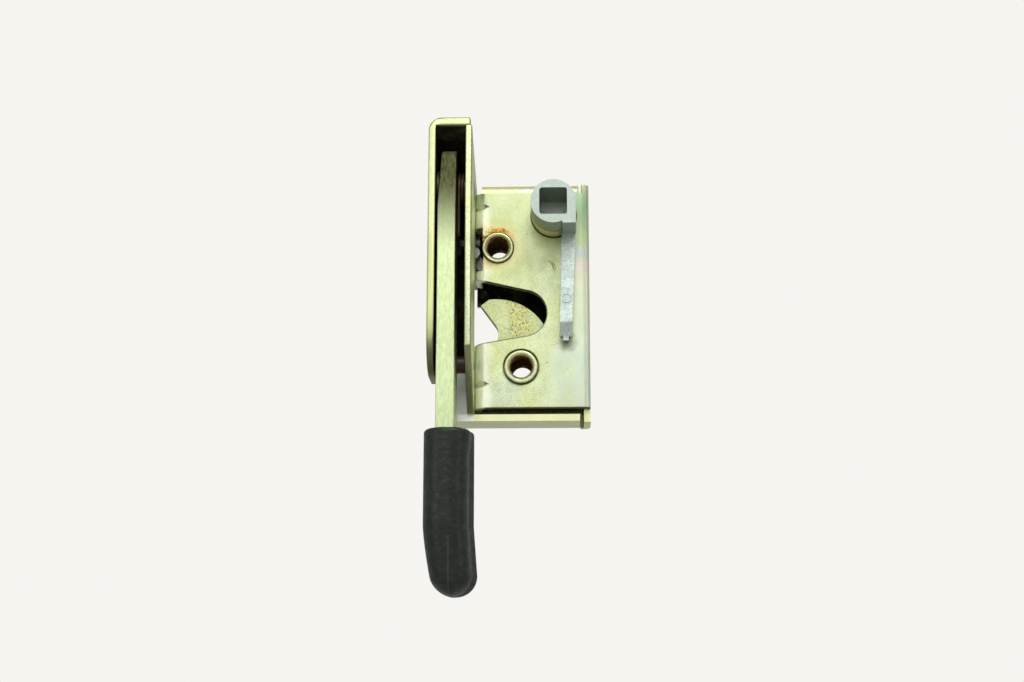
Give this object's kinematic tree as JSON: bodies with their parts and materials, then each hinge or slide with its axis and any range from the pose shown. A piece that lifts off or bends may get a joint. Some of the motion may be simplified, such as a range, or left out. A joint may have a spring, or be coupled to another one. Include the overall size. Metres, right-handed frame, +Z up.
{
  "type": "door lock",
  "caption": "Rotary-claw cab door lock: pressed case with a funnel mouth, turning claw, square-socket spindle hub with an arm, and a hanging inside lever with a black grip.",
  "frame": {"origin": "on the lower sleeve's axis, in the outer face of the front plate", "axes": "+X to the right along the case, +Y back through the door's edge, +Z up"},
  "size_m": [0.0485, 0.0366, 0.1415],
  "materials": {
    "passivated_sheet": "yellow-chromated zinc on pressed sheet steel",
    "passivated_turned": "yellow-chromated zinc on turned steel",
    "passivated_claw": "yellow-chromated zinc on thick stamped steel",
    "passivated_lever": "yellow-chromated zinc on a stamped bar with sheared edges",
    "plain_steel": "plain zinc-plated steel",
    "spring_steel": "drawn spring wire",
    "zinc_casting": null,
    "black_grip": "black moulded grip, satin"
  },
  "bodies": {
    "case": {"front_plate": "passivated_sheet", "back_plate": "passivated_sheet", "base_plate": "passivated_sheet", "lever_hood": "passivated_sheet", "lower_sleeve": "passivated_turned", "upper_sleeve": "passivated_turned", "hub_collar": "passivated_turned", "spring_post": "passivated_turned", "case_rivets": "plain_steel", "lever_pin": "plain_steel", "lever_washer": "plain_steel", "lever_bush": "plain_steel", "stop_rivet": "plain_steel", "stop_tube": "plain_steel", "claw_washer": "plain_steel", "claw_spring": "spring_steel", "pawl_spring": "spring_steel", "lever_spring": "spring_steel"},
    "lever": {"lever_bar": "passivated_lever", "lever_grip": "black_grip", "drive_pin": "plain_steel"},
    "release": {"hub_casting": "zinc_casting", "pawl": "plain_steel", "pawl_retainer": "plain_steel"},
    "claw": {"claw": "passivated_claw"}
  },
  "joints": [
    {"name": "lever_pull", "type": "hinge", "parent": "case", "child": "lever", "pos_m": [-0.0214, -0.004, 0.054], "axis": [-1, 0, 0], "range_deg": [0, 10], "stiffness_Nm_per_rad": 0.6, "deforming": ["lever_spring"]},
    {"name": "release_turn", "type": "hinge", "parent": "case", "child": "release", "pos_m": [0.01, 0, 0.047], "axis": [0, -1, 0], "range_deg": [0, 4.7], "stiffness_Nm_per_rad": 0.4, "deforming": ["pawl_spring"]},
    {"name": "claw_turn", "type": "hinge", "parent": "case", "child": "claw", "pos_m": [0, 0.005, 0], "axis": [0, 1, 0], "range_deg": [0, 50], "stiffness_Nm_per_rad": 0.15, "deforming": ["claw_spring"]}
  ],
  "couplings": [
    {"joint": "release_turn", "follows": "lever_pull", "ratio": 0.47}
  ]
}
